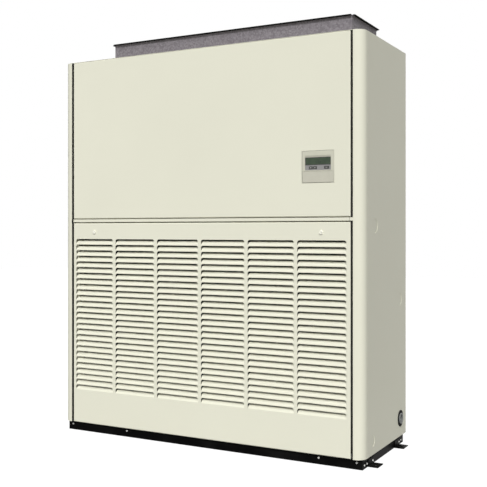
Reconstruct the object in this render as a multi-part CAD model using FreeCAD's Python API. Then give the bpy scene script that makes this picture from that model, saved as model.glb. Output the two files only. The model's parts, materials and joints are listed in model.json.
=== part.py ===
import FreeCAD, Part
import math
import os

V = FreeCAD.Vector

# Cabinet, measured outside. Front faces -Y, +X is to the right, the floor is Z = 0.
cabinet_width = 1400.0
cabinet_depth = 505.0
cabinet_height = 1580.0
sheet = 1.2
overrun = 5.0
seam = 0.8

# Base rails and anchor brackets
base_height = 40.0
base_gauge = 2.3
base_flange = 30.0
base_front_inset = 20.0
base_side_inset = 11.0
base_back_inset = 5.0
anchor_reach = 40.0
anchor_width = 60.0
anchor_leg = 28.0
anchor_gauge = 3.2
anchor_hole_radius = 6.0
anchor_front_set = 104.0
anchor_back_set = 91.0

# Corner posts
post_face = 41.5
corner_radius = 37.0
post_return = 20.0
post_wrap = 3.0
landing_depth = 24.0
landing_width = 25.0

# Side, back and top panels
panel_return = 22.0
back_lap = 4.0
back_edge = 4.0
knockout_depth = 0.8
wire_knockout_radius = 28.0
wire_knockout_set = 126.0
wire_knockout_height = 859.0
pipe_knockout_radius = 26.0
pipe_knockout_back_set = 82.0
pipe_knockout_height = 561.0
low_knockout_radius = 22.0
low_knockout_set = 101.0
low_knockout_height = 52.0

# Discharge collar on the top
collar_side_set = 124.0
collar_margin = 27.5
collar_height = 110.0
collar_gauge = 1.6
collar_flange = 12.0
collar_foot = 20.0

# Front panels and the rail between them
front_gap = 10.0
panel_bend = 4.0
intake_depth = 20.0
intake_floor_gap = 0.5
rail_face_height = 12.0
rail_upper_gap = 3.0
rail_lower_gap = 5.0
rail_nose_inset = 4.0
rail_end_gap = 1.5
rail_upper_wing = 30.0
rail_lower_wing = 62.0

# Louvres of the intake panel
louvre_length = 199.0
louvre_column_gap = 14.5
louvre_height = 21.0
louvre_row_gap = 3.55
louvre_side_margin = 14.0
louvre_top_margin = 68.5
louvre_foot_margin = 136.0
louvre_tilt = 42.0
louvre_corner = 9.0
louvre_shear_gap = 0.4

# Quarter turn fasteners of the intake panel
knob_side_set = 115.5
knob_top_set = 39.0
knob_radius = 7.5
knob_proud = 4.0
knob_neck_radius = 5.0
knob_collar_radius = 7.0
knob_collar = 2.0
knob_stud_radius = 3.5
knob_stud_tip = 8.0
knob_bevel = 1.0
knob_seat_gap = 0.1
knob_slot = 2.0
knob_slot_depth = 1.6
knob_running_gap = 0.06
knob_catch_gap = 1.2

# Hinge at the foot of the intake panel
hinge_set = 10.0
hinge_height = 14.0
hinge_pin_radius = 3.0
hinge_pin_gap = 0.06
hinge_eye_radius = 7.0
hinge_gauge = 4.0
hinge_gap = 1.0
hinge_foot_width = 26.0
hinge_notch = 50.0
hinge_pin_tip = 2.0

# Wired controller in the upper panel
remote_width = 130.0
remote_height = 120.0
remote_side_set = 129.5
remote_foot_set = 128.0
remote_depth = 19.0
remote_wall = 2.0
remote_fit = 0.9
remote_edge_radius = 1.5
window_margin = 12.5
window_high = 96.0
window_low = 66.5
strip_low = 47.0
window_sink = 2.6
bezel_height = 7.0
screen_gauge = 1.6
flap_high = 45.0
flap_gauge = 2.4
flap_gap = 0.4
flap_recess = 5.0
flap_eye_radius = 1.6
flap_pin_radius = 0.8
flap_pin_gap = 0.05
key_gap = 0.4
key_height = 10.0
key_width = 15.0
temp_key_set = 15.5
temp_key_between = 2.0
key_thickness = 5.0
key_proud = 1.0
strip_key_proud = 1.2
key_edge_radius = 0.6
power_key_width = 20.0
power_key_set = 8.0
menu_key_count = 3
menu_key_width = 18.0
menu_key_height = 12.0
menu_key_pitch = 36.0
bracket_lug = 20.0

# Air filters and their rails
filter_set = 46.0
filter_thickness = 12.0
filter_between = 4.0
filter_side_gap = 6.0
filter_frame = 18.0
filter_web = 0.8
filter_cells_wide = 4
filter_cells_high = 5
filter_lift = 15.0
filter_rail_gap = 0.6
filter_rail_wall = 1.6
filter_rail_bite = 14.0

# Heat exchanger
coil_side_set = 140.0
coil_slab = 76.0
coil_top_gap = 152.0
coil_lean = 18.0
coil_low_set = 120.0
coil_clear = 14.0
coil_fin_count = 36
coil_fin_groove = 6.0
coil_plate = 2.0
coil_plate_lap = 8.0
coil_foot = 60.0
header_radius = 14.0
header_off = 30.0
header_stub_radius = 6.0
gas_pipe_radius = 11.0
gas_pipe_level = 561.0
liquid_pipe_radius = 6.4
liquid_pipe_level = 300.0
pipe_bend = 25.0
pipe_lane = 52.0
gas_pipe_back_gap = 20.0
liquid_pipe_front_gap = 80.0
nut_length = 24.0
nut_wall = 4.0

# Drain pan and socket
pan_set = 78.0
pan_back_set = 37.0
pan_side_set = 80.0
pan_wall = 2.0
pan_low = 46.0
pan_height = 58.0
pan_support_inset = 220.0
pan_support_width = 40.0
pan_support_set = 12.0
drain_back_set = 75.0
drain_height = 73.0
drain_radius = 22.0
drain_bore = 16.0
drain_hole = 30.0
drain_proud = 6.0
grommet_lip = 3.0
grommet_side = 2.0
grommet_gap = 0.3
drain_flange = 6.0
drain_flange_gauge = 3.0

# Fan deck, scrolls and wheels
deck_height = 884.0
deck_gauge = 2.0
deck_hole_inset = 20.0
deck_hole_front_set = 172.0
deck_hole_back_set = 60.0
fan_level_share = 0.69
scroll_front_gap = 44.5
scroll_back_gap = 40.5
scroll_between_gap = 260.0
scroll_side_gap = 60.0
scroll_step = 22.0
inlet_lap = 22.0
wheel_gap = 25.0
wheel_ring = 3.0
blade_count = 24
blade_gauge = 2.0
blade_depth = 26.0
blade_sweep = 6.0
blade_bend = 12.0
hub_radius = 30.0
hub_length = 60.0
shaft_radius = 12.5
shaft_end_length = 30.0
bearing_side_set = 170.0
bearing_radius = 30.0
bearing_length = 28.0
bearing_gap = 0.05
stand_gauge = 3.0
stand_width = 120.0
stand_depth = 60.0

# Belt drive and motor
pulley_side_gap = 20.0
pulley_width = 20.0
fan_pulley_pitch = 100.0
motor_pulley_pitch = 62.5
belt_width = 12.0
belt_height = 8.0
belt_gap = 0.3
motor_radius = 88.0
motor_length = 200.0
motor_end_taper = 12.0
motor_shaft_radius = 11.0
motor_shaft_bite = 60.0
motor_clear = 14.0
motor_back_gap = 14.0
motor_foot_width = 170.0
motor_foot_gauge = 8.0
motor_rail_height = 30.0
motor_rail_width = 30.0
motor_rail_spread = 140.0
motor_fins = 12
motor_fin_height = 6.0
motor_fin_gauge = 4.0

# Electrical box
box_side_set = 45.0
box_scroll_gap = 20.0
box_stand_gap = 23.5
box_height = 320.0
box_front_set = 40.0
board_gauge = 1.6
board_edge = 20.0
board_off = 8.0
terminal_width = 120.0
terminal_height = 34.0
terminal_depth = 30.0
terminal_ways = 6
terminal_slot = 8.0

# Levels and planes that follow from the sizes above
front = -cabinet_depth / 2
back = cabinet_depth / 2
side = cabinet_width / 2
bottom = base_height
top = base_height + cabinet_height
post_inner = side - post_face
seam_y = front + corner_radius + post_wrap
landing = front + landing_depth
front_width = (post_inner - front_gap) * 2
deck_top = bottom + deck_height + deck_gauge
rail_low = deck_height - rail_face_height / 2
rail_high = deck_height + rail_face_height / 2
intake_top = rail_low - rail_lower_gap
upper_low = rail_high + rail_upper_gap

# The fan casings fill the depth of the upper chamber and the width between their bearings
bearing_set = side - bearing_side_set
scroll_outer = bearing_set - scroll_side_gap
scroll_inner = scroll_between_gap / 2
scroll_width = scroll_outer - scroll_inner
scroll_room = cabinet_depth - landing_depth - scroll_front_gap - scroll_back_gap
scroll_radius = (scroll_room - scroll_step * 3) / 2
scroll_back = scroll_radius + scroll_step * 3
scroll_foot = scroll_radius + scroll_step
wheel_radius = scroll_radius - wheel_gap
wheel_width = scroll_width - wheel_gap * 2
inlet_radius = wheel_radius - inlet_lap
fan_y = back - scroll_back_gap - scroll_back
fan_z = deck_top + scroll_foot + (top - deck_top - scroll_foot - scroll_radius) * fan_level_share
collar_front = fan_y - collar_margin
collar_back = fan_y + scroll_back + collar_margin
pulley_set = scroll_inner - pulley_side_gap - pulley_width / 2
motor_y = back - sheet - motor_back_gap - motor_radius - motor_fin_height
motor_z = deck_top + motor_rail_height + motor_foot_gauge + motor_radius + motor_fin_height


def block(x, y, z):
    """Box between two values on each axis."""
    return Part.makeBox(x[1] - x[0], y[1] - y[0], z[1] - z[0], V(x[0], y[0], z[0]))


def inside(span, inset):
    """A span drawn in by the same amount at both ends."""
    return (span[0] + inset, span[1] - inset)


def about(centre, width):
    """A span of one width about its centre."""
    return (centre - width / 2, centre + width / 2)


def point(axis, a, b, along):
    """Point from two plane coordinates and its place along the axis."""
    return {"x": V(along, a, b), "y": V(a, along, b), "z": V(a, b, along)}[axis]


def direction(axis):
    return point(axis, 0, 0, 1)


def bar(axis, centre, radius, span):
    """Round bar along an axis, between two places on it."""
    return Part.makeCylinder(radius, span[1] - span[0], point(axis, *centre, span[0]), direction(axis))


def extruded(edges, axis, span):
    """Solid from a closed run of edges drawn in the plane at the start of the span."""
    face = Part.Face(Part.Wire(Part.__sortEdges__(edges)))
    return face.extrude(direction(axis) * (span[1] - span[0]))


def polygon(points, axis, span):
    """Straight sided prism."""
    corners = [point(axis, a, b, span[0]) for a, b in points]
    face = Part.Face(Part.makePolygon(corners + corners[:1]))
    return face.extrude(direction(axis) * (span[1] - span[0]))


def turned(profile, axis, centre):
    """Solid of revolution from (along, radius) pairs about an axis."""
    corners = [point(axis, centre[0] + radius, centre[1], along) for along, radius in profile]
    face = Part.Face(Part.makePolygon(corners + corners[:1]))
    return face.revolve(point(axis, *centre, 0), direction(axis), 360)


def offset_left(path, thickness):
    """The path moved sideways to its left by a sheet's thickness, with mitred corners."""
    normals = []
    for (ax, ay), (bx, by) in zip(path, path[1:]):
        length = math.hypot(bx - ax, by - ay)
        normals.append(((ay - by) / length, (bx - ax) / length))
    moved = []
    for i, (px, py) in enumerate(path):
        before = normals[max(i - 1, 0)]
        after = normals[min(i, len(normals) - 1)]
        spread = 1 + before[0] * after[0] + before[1] * after[1]
        moved.append((
            px + (before[0] + after[0]) * thickness / spread,
            py + (before[1] + after[1]) * thickness / spread,
        ))
    return moved


def path_edges(path, radii, axis, level):
    """Lines along a path, with an arc at each corner that has a radius."""
    edges = []
    start = path[0]
    for i in range(1, len(path)):
        corner = path[i]
        radius = radii.get(i, 0)
        if radius and i + 1 < len(path):
            into = (corner[0] - path[i - 1][0], corner[1] - path[i - 1][1])
            out = (path[i + 1][0] - corner[0], path[i + 1][1] - corner[1])
            into = tuple(v / math.hypot(*into) for v in into)
            out = tuple(v / math.hypot(*out) for v in out)
            turn = math.acos(into[0] * out[0] + into[1] * out[1])
            reach = radius * math.tan(turn / 2)
            first = (corner[0] - into[0] * reach, corner[1] - into[1] * reach)
            last = (corner[0] + out[0] * reach, corner[1] + out[1] * reach)
            inward = (out[0] - into[0], out[1] - into[1])
            inward = tuple(v / math.hypot(*inward) for v in inward)
            sink = radius / math.cos(turn / 2) - radius
            middle = (corner[0] + inward[0] * sink, corner[1] + inward[1] * sink)
            edges.append(Part.LineSegment(point(axis, *start, level), point(axis, *first, level)).toShape())
            arc = Part.Arc(*(point(axis, *p, level) for p in (first, middle, last)))
            edges.append(arc.toShape())
            start = last
        else:
            edges.append(Part.LineSegment(point(axis, *start, level), point(axis, *corner, level)).toShape())
            start = corner
    return edges


def bent_sheet(path, thickness, axis, span, radii=None):
    """Folded sheet: a path with its thickness to the left, drawn along an axis."""
    radii = radii or {}
    inner = offset_left(path, thickness)
    inner_radii = {i: radius - thickness for i, radius in radii.items()}
    edges = path_edges(path, radii, axis, span[0]) + path_edges(inner, inner_radii, axis, span[0])
    for a, b in ((path[0], inner[0]), (path[-1], inner[-1])):
        edges.append(Part.LineSegment(point(axis, *a, span[0]), point(axis, *b, span[0])).toShape())
    return extruded(edges, axis, span)


def mirrored(shape):
    """The same piece for the left side."""
    return shape.mirror(V(0, 0, 0), V(1, 0, 0))


def tube(path, radius, bend):
    """Round pipe along a path in space, with every corner bent to one radius."""
    edges = []
    start = path[0]
    for before, corner, after in zip(path, path[1:], path[2:]):
        into = (corner - before).normalize()
        out = (after - corner).normalize()
        turn = into.getAngle(out)
        reach = bend * math.tan(turn / 2)
        first = corner - into * reach
        last = corner + out * reach
        sink = bend / math.cos(turn / 2) - bend
        middle = corner + (out - into).normalize() * sink
        edges.append(Part.LineSegment(start, first).toShape())
        edges.append(Part.Arc(first, middle, last).toShape())
        start = last
    edges.append(Part.LineSegment(start, path[-1]).toShape())
    ring = Part.Wire(Part.makeCircle(radius, path[0], path[1] - path[0]))
    return Part.Wire(edges).makePipeShell([ring], True, False)


def tray(x, z, depth):
    """Front panel: a sheet with its four edges bent back."""
    shell = block(x, (front, front + depth), z)
    hollow = block(
        (x[0] + sheet, x[1] - sheet), (front + sheet, front + depth + overrun), (z[0] + sheet, z[1] - sheet)
    )

    def bend(shape, radius):
        edges = [e for e in shape.Edges if e.BoundBox.YLength < sheet and e.BoundBox.YMax < front + sheet * 2]
        return shape.makeFillet(radius, edges)

    return bend(shell, panel_bend).cut(bend(hollow, panel_bend - sheet))


def eased(shape, radius):
    """Moulded piece with its front edges rounded."""
    face = shape.BoundBox.YMin
    return shape.makeFillet(radius, [e for e in shape.Edges if e.BoundBox.YMax < face + radius])


pieces = {}

# Base: two long channels and two side channels, welded at the corners
base_front = front + base_front_inset
base_back = back - base_back_inset
base_side = side - base_side_inset


def channel(outer, inward):
    """Open side of a base channel faces into the cabinet."""
    reach = outer + inward * base_flange
    path = [(reach, 0), (outer, 0), (outer, base_height), (reach, base_height)]
    return path if inward < 0 else path[::-1]


pieces["base_front_rail"] = bent_sheet(channel(base_front, 1), base_gauge, "x", (-base_side, base_side))
pieces["base_rear_rail"] = bent_sheet(channel(base_back, -1), base_gauge, "x", (-base_side, base_side))
side_rail_y = inside((base_front, base_back), base_gauge)
side_rail = bent_sheet(channel(base_side, -1), base_gauge, "y", side_rail_y)
side_rail = side_rail.cut([pieces["base_front_rail"], pieces["base_rear_rail"]])
pieces["base_side_rails"] = Part.makeCompound([side_rail, mirrored(side_rail)])

# Anchor brackets: an angle on each end of the side rails, with a hole for the floor bolt
anchors = []
for y in (front + anchor_front_set, back - anchor_back_set):
    angle = bent_sheet(
        [(base_side + anchor_reach, 0), (base_side, 0), (base_side, anchor_leg)][::-1],
        anchor_gauge, "y", (y - anchor_width / 2, y + anchor_width / 2),
    )
    hole_x = base_side + (anchor_reach + anchor_gauge) / 2
    anchors.append(angle.cut(bar("z", (hole_x, y), anchor_hole_radius, (-overrun, anchor_leg))))
pieces["anchor_brackets"] = Part.makeCompound(anchors + [mirrored(a) for a in anchors])

# Corner posts: rounded outside, with a landing for the front panels
post = bent_sheet(
    [
        (post_inner - landing_width, landing),
        (post_inner, landing),
        (post_inner, front),
        (side, front),
        (side, seam_y),
        (side - post_return, seam_y),
    ],
    sheet, "z", (bottom, top - sheet), {3: corner_radius},
)
# The landing stops above the hinge brackets of the intake panel
landing_cut = block(
    (post_inner - landing_width - overrun, post_inner), (landing - overrun, landing + overrun),
    (bottom - overrun, bottom + hinge_height + hinge_eye_radius + hinge_gap),
)
post = post.cut(landing_cut)
pieces["right_corner_post"] = post
pieces["left_corner_post"] = mirrored(post)

# Side panels with pressed knock-outs for pipes and wiring, the right one with the drain hole
flat_side = bent_sheet(
    [
        (side - panel_return, seam_y + seam),
        (side, seam_y + seam),
        (side, back - sheet),
        (side - panel_return, back - sheet),
    ],
    sheet, "z", (bottom, top - sheet),
)
for y, height, radius in (
    (front + wire_knockout_set, wire_knockout_height, wire_knockout_radius),
    (back - pipe_knockout_back_set, pipe_knockout_height, pipe_knockout_radius),
    (front + low_knockout_set, low_knockout_height, low_knockout_radius),
):
    centre = (y, bottom + height)
    disc = bar("x", centre, radius, (side - sheet - knockout_depth, side))
    pocket = bar("x", centre, radius - sheet, (side - knockout_depth, side + overrun))
    flat_side = flat_side.fuse(disc).cut(pocket)
pieces["left_side_panel"] = mirrored(flat_side)
drain = (back - drain_back_set, bottom + drain_height)
drain_cut = bar("x", drain, drain_hole, (side - panel_return, side + overrun))
pieces["right_side_panel"] = flat_side.cut(drain_cut)

# Back panels: two sheets screwed on the folded edges of the side panels
back_x = (-side + back_edge, side - back_edge)
back_y = (back - sheet, back)
back_split = deck_height + back_lap
pieces["lower_back_panel"] = block(back_x, back_y, (bottom, bottom + back_split))
pieces["upper_back_panel"] = block(back_x, back_y, (bottom + back_split + seam, top - sheet))

# Fan outlets through the top
outlet_y = (fan_y, fan_y + scroll_back)


def outlet_x(centre, inset):
    return inside(about(centre, scroll_width), inset)


fan_centre = (scroll_inner + scroll_outer) / 2
fan_centres = (-fan_centre, fan_centre)

# Top panel: one sheet rounded like the posts, open over the two fans
lid_outline = [(0, back), (-side, back), (-side, front), (side, front), (side, back), (0, back)]
lid_edges = path_edges(lid_outline, {2: corner_radius, 3: corner_radius}, "z", top - sheet)
lid = extruded(lid_edges, "z", (top - sheet, top))
for centre in fan_centres:
    lid = lid.cut(block(outlet_x(centre, sheet), inside(outlet_y, sheet), (top - overrun, top + overrun)))
pieces["top_panel"] = lid

# Discharge collar: four walls, a folded foot inside and a flange outside with open corners
collar_x = inside((-side, side), collar_side_set)
collar_y = (collar_front, collar_back)
collar_z = (top, top + collar_height)
walls = block(collar_x, collar_y, collar_z)
hollow_z = (top + collar_gauge, collar_z[1] + overrun)
hollow = block(inside(collar_x, collar_gauge), inside(collar_y, collar_gauge), hollow_z)
foot_hole = block(inside(collar_x, collar_foot), inside(collar_y, collar_foot), about(top, overrun))
flange_z = (collar_z[1] - collar_gauge, collar_z[1])
lips = [
    block(collar_x, (collar_y[0] - collar_flange, collar_y[0]), flange_z),
    block(collar_x, (collar_y[1], collar_y[1] + collar_flange), flange_z),
    block((collar_x[0] - collar_flange, collar_x[0]), collar_y, flange_z),
    block((collar_x[1], collar_x[1] + collar_flange), collar_y, flange_z),
]
pieces["duct_collar"] = walls.cut([hollow, foot_hole]).fuse(lips).removeSplitter()

# Rail between the front panels: a nose in the front plane and a wing behind each panel
panel_side = front_width / 2
rail_nose = panel_side - rail_nose_inset
rail = bent_sheet(
    [
        (landing, bottom + rail_high + rail_upper_wing),
        (landing, bottom + rail_high),
        (front, bottom + rail_high),
        (front, bottom + rail_low),
        (landing, bottom + rail_low),
        (landing, bottom + rail_low - rail_lower_wing),
    ],
    sheet, "x", (-rail_nose, rail_nose),
)
rail = rail.cut([pieces["right_corner_post"], pieces["left_corner_post"]])
knob_right = panel_side - knob_side_set
knob_places = {"left": -knob_right, "right": knob_right}
knob_z = bottom + intake_top - knob_top_set
for x in knob_places.values():
    rail = rail.cut(bar("y", (x, knob_z), knob_stud_radius + knob_catch_gap, (front, landing + overrun)))
pieces["mid_rail"] = rail

rail_end = rail_nose + rail_end_gap
rail_bracket = bent_sheet(
    [(rail_end, landing), (rail_end, front), (post_inner, front)],
    sheet, "z", (bottom + rail_low, bottom + rail_high),
)
pieces["mid_rail_brackets"] = Part.makeCompound([rail_bracket, mirrored(rail_bracket)])

# Upper front panel with the opening for the wired controller
panel_x = (-panel_side, panel_side)
remote_centre = panel_side - remote_side_set
remote_x = about(remote_centre, remote_width)
remote_low = bottom + upper_low + remote_foot_set
remote_z = (remote_low, remote_low + remote_height)
upper_panel = tray(panel_x, (bottom + upper_low, top - sheet), landing_depth)
hold_x = inside(remote_x, -remote_fit)
remote_hole = block(hold_x, (front - overrun, front + overrun), inside(remote_z, -remote_fit))
pieces["upper_front_panel"] = upper_panel.cut(remote_hole)

# Louvred intake panel: each louvre is sheared on three sides and bent inwards about its lower edge
intake_z = (bottom + intake_floor_gap, bottom + intake_top)
intake_panel = tray(panel_x, intake_z, intake_depth)


def louvre_blank(length, span):
    """Plate in the front plane that stands on Z = 0, with rounded upper corners."""
    half = length / 2
    outline = [(0, 0), (half, 0), (half, louvre_height), (-half, louvre_height), (-half, 0), (0, 0)]
    return extruded(path_edges(outline, {2: louvre_corner, 3: louvre_corner}, "y", span[0]), "y", span)


window = louvre_blank(louvre_length, (front - overrun, front + overrun))
blade = louvre_blank(louvre_length - louvre_shear_gap * 2, (front, front + sheet))
blade.rotate(V(0, front, 0), V(1, 0, 0), -louvre_tilt)
louvre_column_pitch = louvre_length + louvre_column_gap
louvre_row_pitch = louvre_height + louvre_row_gap
field_width = front_width - louvre_side_margin * 2
field_height = intake_top - intake_floor_gap - louvre_top_margin - louvre_foot_margin
louvre_columns = int((field_width + louvre_column_gap) / louvre_column_pitch)
louvre_rows = int((field_height + louvre_row_gap) / louvre_row_pitch)
first_foot = bottom + intake_top - louvre_top_margin - louvre_height
places = []
for column in range(louvre_columns):
    for row in range(louvre_rows):
        x = (column - (louvre_columns - 1) / 2) * louvre_column_pitch
        places.append(V(x, 0, first_foot - row * louvre_row_pitch))
intake_panel = intake_panel.cut([window.translated(place) for place in places])
intake_panel = intake_panel.fuse([blade.translated(place) for place in places])

# Holes for the fasteners and the hinge pins, and room in the lower fold for the hinge brackets
hinge = (front + hinge_set, bottom + hinge_height)
knob_hole = knob_neck_radius + knob_running_gap
for x in knob_places.values():
    intake_panel = intake_panel.cut(bar("y", (x, knob_z), knob_hole, about(front, overrun)))
intake_panel = intake_panel.cut(bar("x", hinge, hinge_pin_radius + hinge_pin_gap, inside(panel_x, -overrun)))
notch = block(
    (panel_side - hinge_notch, panel_side - sheet),
    (front + panel_bend, front + intake_depth + overrun),
    (intake_z[0] - overrun, intake_z[0] + panel_bend),
)
pieces["intake_panel"] = intake_panel.cut([notch, mirrored(notch)])

# Quarter turn fasteners: slotted head, collar behind the sheet and a stud into the rail
for hand, x in knob_places.items():
    head = front - knob_seat_gap
    behind = front + sheet + knob_seat_gap
    knob = turned(
        [
            (head - knob_proud, 0),
            (head - knob_proud, knob_radius - knob_bevel),
            (head - knob_proud + knob_bevel, knob_radius),
            (head, knob_radius),
            (head, knob_neck_radius),
            (behind, knob_neck_radius),
            (behind, knob_collar_radius),
            (behind + knob_collar, knob_collar_radius),
            (behind + knob_collar, knob_stud_radius),
            (landing + knob_stud_tip, knob_stud_radius),
            (landing + knob_stud_tip, 0),
        ],
        "y", (x, knob_z),
    )
    slot = block(
        about(x, knob_radius * 3), (head - knob_proud - overrun, head - knob_proud + knob_slot_depth),
        about(knob_z, knob_slot),
    )
    pieces[hand + "_knob"] = knob.cut(slot)

# Hinge brackets: an eye with its pin, on a foot bolted to the front base rail
eye_x = (panel_side - sheet - hinge_gap - hinge_gauge, panel_side - sheet - hinge_gap)
rail_y = (base_front, base_front + base_flange)
strap = block(eye_x, (hinge[0], rail_y[1]), about(hinge[1], hinge_eye_radius * 2))
strap = strap.fuse([
    bar("x", hinge, hinge_eye_radius, eye_x),
    block(eye_x, rail_y, (bottom, hinge[1])),
    block((eye_x[0] - hinge_foot_width, eye_x[0]), rail_y, (bottom, bottom + hinge_gauge)),
    bar("x", hinge, hinge_pin_radius, (eye_x[0], panel_side + hinge_pin_tip)),
]).removeSplitter()
pieces["hinge_brackets"] = Part.makeCompound([strap, mirrored(strap)])

# Wired controller: housing, back plate and the bracket that holds it behind the panel
remote_y = (front, front + remote_depth)
flap_z = (remote_z[0], remote_z[0] + flap_high)
recess_y = front + flap_recess
ear_x = inside(remote_x, remote_wall)
rear = remote_y[1] + overrun
upper_room_z = (flap_z[1] + remote_wall, remote_z[1] - remote_wall)
screen_y = (front + window_sink, front + window_sink + screen_gauge)
housing = eased(block(remote_x, remote_y, remote_z), remote_edge_radius).cut([
    block(ear_x, (screen_y[1], rear), upper_room_z),
    block(ear_x, (recess_y + remote_wall, rear), inside(remote_z, remote_wall)),
    block(ear_x, (front - overrun, recess_y), (flap_z[0] - overrun, flap_z[1] + flap_gap)),
])
window_x = inside(remote_x, window_margin)
strip_z = (remote_z[0] + strip_low, remote_z[0] + window_low)
screen_z = (remote_z[0] + window_low, remote_z[0] + window_high)
housing = housing.cut(block(window_x, (front - overrun, screen_y[1]), (strip_z[0], screen_z[1])))
bezel = [(front, screen_z[1]), (screen_y[0], screen_z[1]), (front, screen_z[1] + bezel_height)]
housing = housing.cut(polygon(bezel, "x", window_x))
flap_axis = (front + flap_eye_radius, flap_z[0] + flap_gap + flap_eye_radius)
housing = housing.cut(bar("x", flap_axis, flap_pin_radius + flap_pin_gap, remote_x))
pieces["display_window"] = block(window_x, screen_y, screen_z)
key_strip = block(window_x, screen_y, strip_z)

# Keys: three in the strip under the window and a row behind the flap
key_z = (strip_z[0] + strip_z[1]) / 2
key_row = about(key_z, key_height)
key_y = (screen_y[0] - strip_key_proud, screen_y[0] - strip_key_proud + key_thickness)
temp_left = window_x[0] + temp_key_set
temp_right = temp_left + key_width + temp_key_between
power_left = window_x[1] - power_key_set - power_key_width
strip_keys = {
    "temp_down_key": (temp_left, temp_left + key_width),
    "temp_up_key": (temp_right, temp_right + key_width),
    "power_key": (power_left, power_left + power_key_width),
}
for name, key_x in strip_keys.items():
    pieces[name] = eased(block(key_x, key_y, key_row), key_edge_radius)
    key_hole = block(inside(key_x, -key_gap), inside(screen_y, -overrun), inside(key_row, -key_gap))
    key_strip = key_strip.cut(key_hole)
pieces["key_strip"] = key_strip
menu_row = about((flap_z[0] + flap_z[1]) / 2, menu_key_height)
for number in range(menu_key_count):
    x = remote_centre + (number - (menu_key_count - 1) / 2) * menu_key_pitch
    y = (recess_y - key_proud, recess_y - key_proud + key_thickness)
    key_x = about(x, menu_key_width)
    pieces["menu_key_%d" % (number + 1)] = eased(block(key_x, y, menu_row), key_edge_radius)
    housing = housing.cut(block(inside(key_x, -key_gap), inside(y, -overrun), inside(menu_row, -key_gap)))
pieces["remote_housing"] = housing
flap_x = inside(ear_x, flap_gap)
flap = block(flap_x, (front, front + flap_gauge), (flap_axis[1], flap_z[1]))
flap = flap.fuse([
    bar("x", flap_axis, flap_eye_radius, flap_x),
    bar("x", flap_axis, flap_pin_radius, inside(remote_x, remote_wall / 4)),
]).removeSplitter()
pieces["remote_flap"] = flap
plate_y = (remote_y[1], remote_y[1] + remote_wall)
pieces["remote_back_plate"] = block(inside(remote_x, remote_wall), plate_y, inside(remote_z, remote_wall))
pieces["remote_bracket"] = bent_sheet(
    [
        (hold_x[0] - bracket_lug, front + sheet),
        (hold_x[0], front + sheet),
        (hold_x[0], plate_y[1]),
        (hold_x[1], plate_y[1]),
        (hold_x[1], front + sheet),
        (hold_x[1] + bracket_lug, front + sheet),
    ],
    sheet, "z", remote_z,
)

# Drain pan on two supports, its socket through the right side and the grommet round it
pan_y = (front + pan_set, back - pan_back_set)
pan_x = inside((-side, side), pan_side_set)
pan_z = (bottom + pan_low, bottom + pan_low + pan_height)
pan = block(pan_x, pan_y, pan_z)
pan_floor = pan_z[0] + pan_wall
pan = pan.cut(block(inside(pan_x, pan_wall), inside(pan_y, pan_wall), (pan_floor, pan_z[1] + overrun)))
pieces["drain_pan"] = pan.cut(bar("x", drain, drain_bore - pan_wall, about(pan_x[1], overrun)))
pieces["drain_socket"] = turned(
    [
        (pan_x[1], drain_bore),
        (pan_x[1], drain_radius + drain_flange),
        (pan_x[1] + drain_flange_gauge, drain_radius + drain_flange),
        (pan_x[1] + drain_flange_gauge, drain_radius),
        (side + drain_proud, drain_radius),
        (side + drain_proud, drain_bore),
    ],
    "x", drain,
)
grommet_inner = drain_radius + grommet_gap
groove = (side - sheet, side)
pieces["drain_grommet"] = turned(
    [
        (groove[0] - grommet_side, grommet_inner),
        (groove[0] - grommet_side, drain_hole + grommet_lip),
        (groove[0], drain_hole + grommet_lip),
        (groove[0], drain_hole),
        (groove[1], drain_hole),
        (groove[1], drain_hole + grommet_lip),
        (groove[1] + grommet_side, drain_hole + grommet_lip),
        (groove[1] + grommet_side, grommet_inner),
    ],
    "x", drain,
)
supports = []
for x in inside(pan_x, pan_support_inset):
    span = about(x, pan_support_width)
    supports.append(bent_sheet(
        [(span[0], bottom), (span[0], pan_z[0]), (span[1], pan_z[0]), (span[1], bottom)][::-1],
        base_gauge, "y", (base_front + pan_support_set, base_back),
    ))
pieces["pan_supports"] = Part.makeCompound(supports)

# Air filters: framed webs that lift in their rails
filter_y = (front + filter_set, front + filter_set + filter_thickness)
filter_roof = bottom + deck_height - filter_rail_wall
filter_z = (pan_z[0] + filter_rail_wall, filter_roof - filter_rail_gap - filter_lift)
filter_x = (filter_between / 2, post_inner - landing_width - filter_side_gap)
filter_body = block(filter_x, filter_y, filter_z)
cell_w = (filter_x[1] - filter_x[0] - filter_frame) / filter_cells_wide
cell_h = (filter_z[1] - filter_z[0] - filter_frame) / filter_cells_high
cells = []
for i in range(filter_cells_wide):
    for j in range(filter_cells_high):
        x = (filter_x[0] + filter_frame + i * cell_w, filter_x[0] + (i + 1) * cell_w)
        z = (filter_z[0] + filter_frame + j * cell_h, filter_z[0] + (j + 1) * cell_h)
        middle = (filter_y[0] + filter_y[1]) / 2
        cells.append(block(x, (filter_y[0] - overrun, middle - filter_web / 2), z))
        cells.append(block(x, (middle + filter_web / 2, filter_y[1] + overrun), z))
filter_body = filter_body.cut(cells)
pieces["right_filter"] = filter_body
pieces["left_filter"] = mirrored(filter_body)
guide_y = inside(filter_y, -filter_rail_gap)
rail_x = (-filter_x[1], filter_x[1])
low_z = filter_z[0] - filter_rail_wall
lower_rail = block(rail_x, inside(guide_y, -filter_rail_wall), (low_z, filter_z[0] + filter_rail_bite))
upper_rail = block(
    rail_x, inside(guide_y, -filter_rail_wall), (filter_z[1] - filter_rail_bite, bottom + deck_height)
)
guide = block(inside(rail_x, -overrun), guide_y, (filter_z[0], filter_roof))
pieces["filter_rails"] = Part.makeCompound([lower_rail.cut(guide), upper_rail.cut(guide)])

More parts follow.
